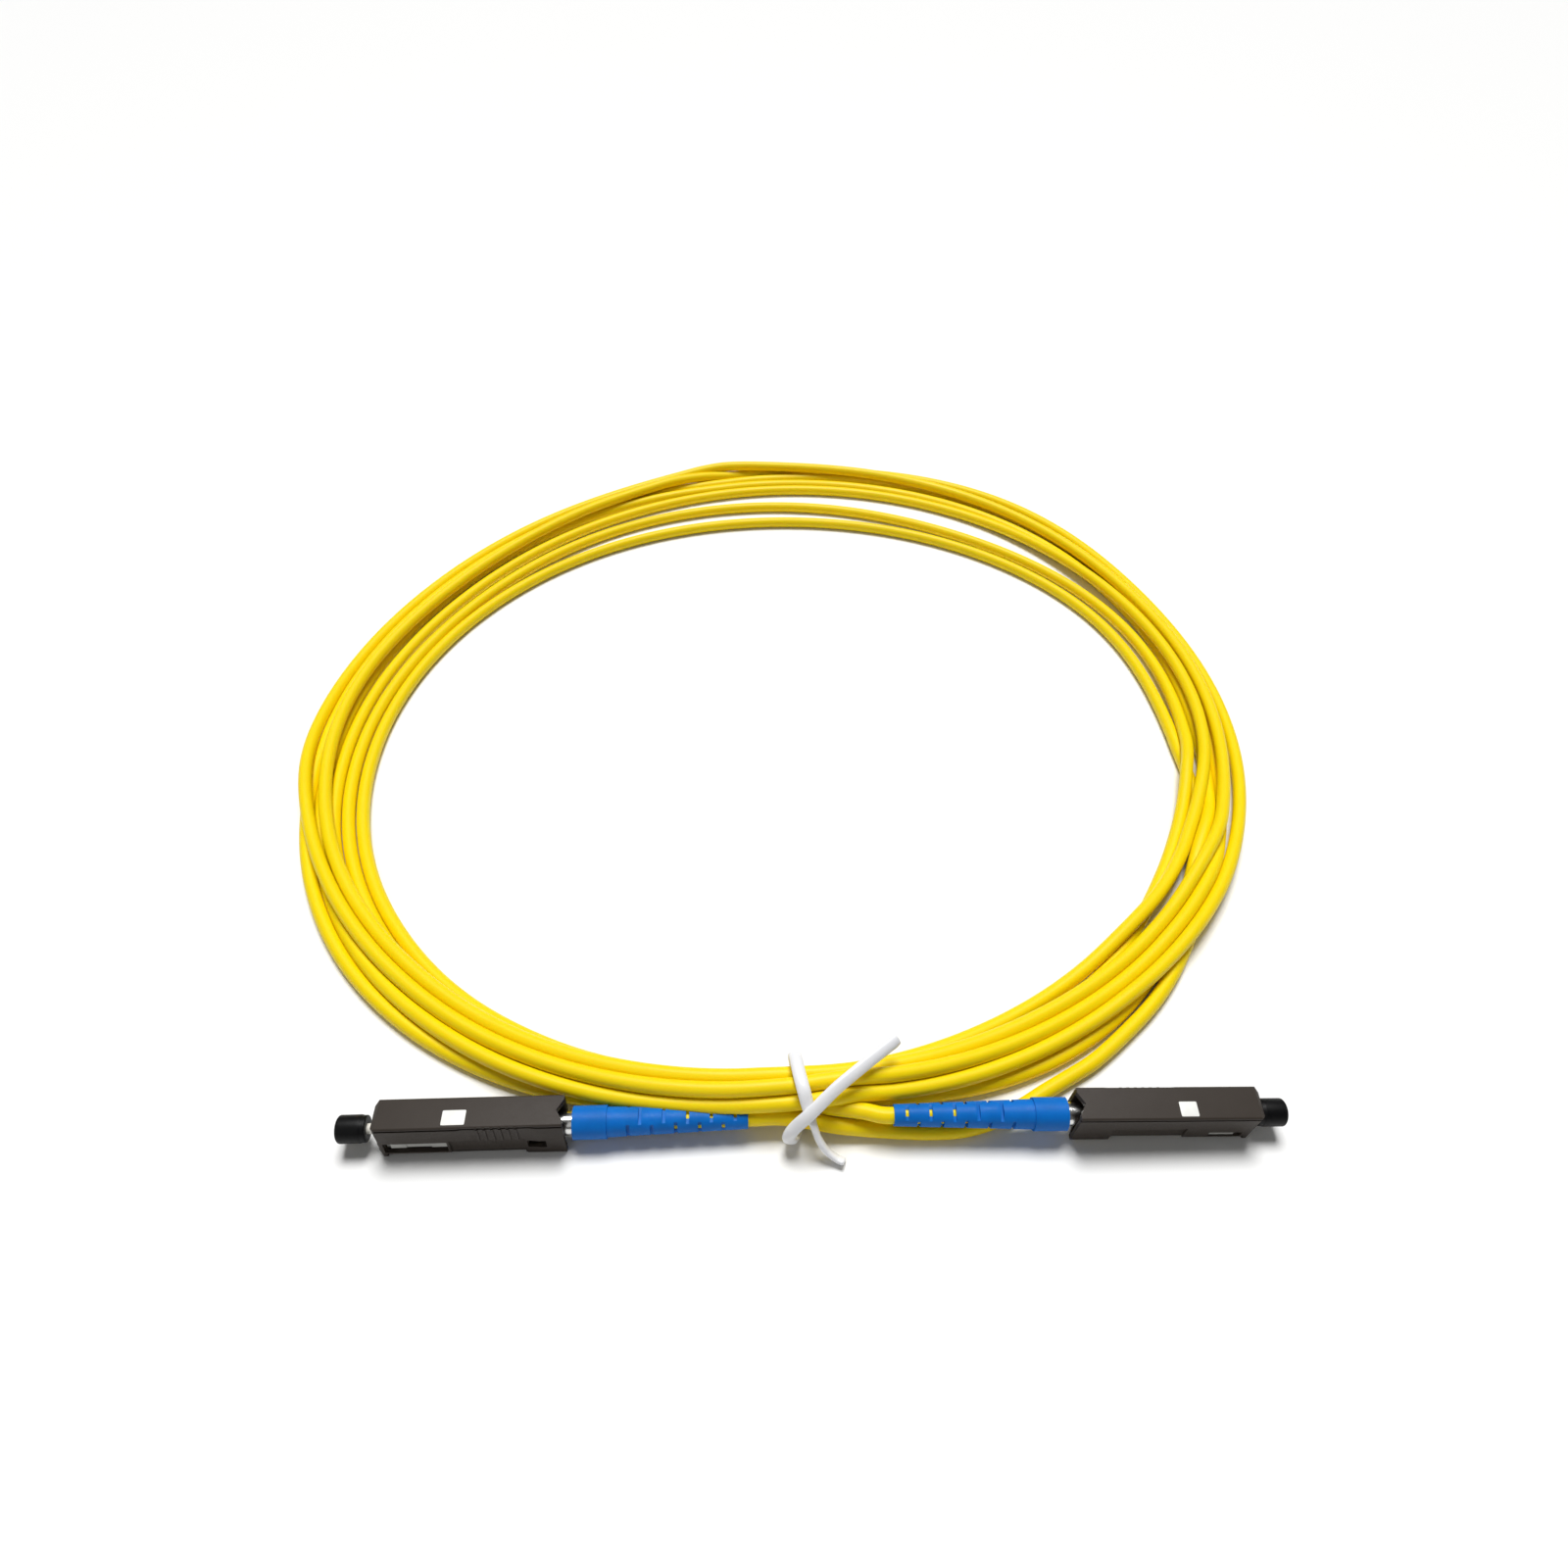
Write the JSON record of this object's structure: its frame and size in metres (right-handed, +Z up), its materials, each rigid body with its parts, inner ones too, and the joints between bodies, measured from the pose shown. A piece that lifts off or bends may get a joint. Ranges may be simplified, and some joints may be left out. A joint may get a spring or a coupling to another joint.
{
  "type": "fiber optic patch cord",
  "caption": "Coiled yellow fibre optic patch cord with a small push-pull plug, blue strain-relief boot and black dust cap on each end, held by a white twist tie.",
  "frame": {"origin": "on the table, under the middle of the box round the two plugs with their boots and dust caps", "axes": "+Z up from the table; +X along the pair of plugs, from plug A's end to plug B's end; +Y towards the coil"},
  "size_m": [0.154, 0.1643, 0.01],
  "materials": {
    "jacket_yellow": "smooth extruded cable jacket, slightly glossy",
    "tie_white": "smooth plastic-covered wire",
    "housing_charcoal": "moulded, satin, sharp edged",
    "frame_grey": "moulded, satin",
    "cap_black": "moulded soft plastic, satin",
    "boot_blue": "moulded, slightly translucent satin",
    "ferrule_ceramic": "ground and polished ceramic",
    "flange_steel": "turned",
    "spring_steel": "drawn wire",
    "stop_ring_brass": "turned, nickel washed",
    "crimp_nickel": "bright plated",
    "aramid_yellow": "loose fine yarn",
    "fibre_buffer": "smooth"
  },
  "bodies": {
    "root": {"plug_frame_a": "frame_grey", "plug_frame_b": "frame_grey", "spring_a": "spring_steel", "spring_b": "spring_steel", "stop_ring_a": "stop_ring_brass", "stop_ring_b": "stop_ring_brass", "crimp_ring_a": "crimp_nickel", "crimp_ring_b": "crimp_nickel", "aramid_yarn_a": "aramid_yellow", "aramid_yarn_b": "aramid_yellow", "strain_boot_a": "boot_blue", "strain_boot_b": "boot_blue", "cable_coil": "jacket_yellow", "cable_lead_a": "jacket_yellow", "cable_lead_b": "jacket_yellow", "twist_tie": "tie_white"},
    "grip_a": {"grip_housing_a": "housing_charcoal"},
    "ferrule_unit_a": {"ferrule_a": "ferrule_ceramic", "ferrule_flange_a": "flange_steel", "buffered_fibre_a": "fibre_buffer"},
    "cap_a": {"dust_cap_a": "cap_black"},
    "grip_b": {"grip_housing_b": "housing_charcoal"},
    "ferrule_unit_b": {"ferrule_b": "ferrule_ceramic", "ferrule_flange_b": "flange_steel", "buffered_fibre_b": "fibre_buffer"},
    "cap_b": {"dust_cap_b": "cap_black"}
  },
  "joints": [
    {"name": "housing_a_slide", "type": "slide", "parent": "root", "child": "grip_a", "axis": [-0.9986, -0.0523, 0], "range_m": [-0.0008, 0]},
    {"name": "ferrule_a_float", "type": "slide", "parent": "root", "child": "ferrule_unit_a", "axis": [-0.9986, -0.0523, 0], "range_m": [-0.0008, 0], "stiffness_N_per_m": 1500, "deforming": ["spring_a"]},
    {"name": "cap_a_pull", "type": "slide", "parent": "ferrule_unit_a", "child": "cap_a", "axis": [-0.9986, -0.0523, 0], "range_m": [-0.001, 0.007]},
    {"name": "housing_b_slide", "type": "slide", "parent": "root", "child": "grip_b", "axis": [0.9989, 0.0419, -0.0209], "range_m": [-0.0008, 0]},
    {"name": "ferrule_b_float", "type": "slide", "parent": "root", "child": "ferrule_unit_b", "axis": [0.9989, 0.0419, -0.0209], "range_m": [-0.0008, 0], "stiffness_N_per_m": 1500, "deforming": ["spring_b"]},
    {"name": "cap_b_pull", "type": "slide", "parent": "ferrule_unit_b", "child": "cap_b", "axis": [0.9989, 0.0419, -0.0209], "range_m": [0, 0.008]}
  ]
}
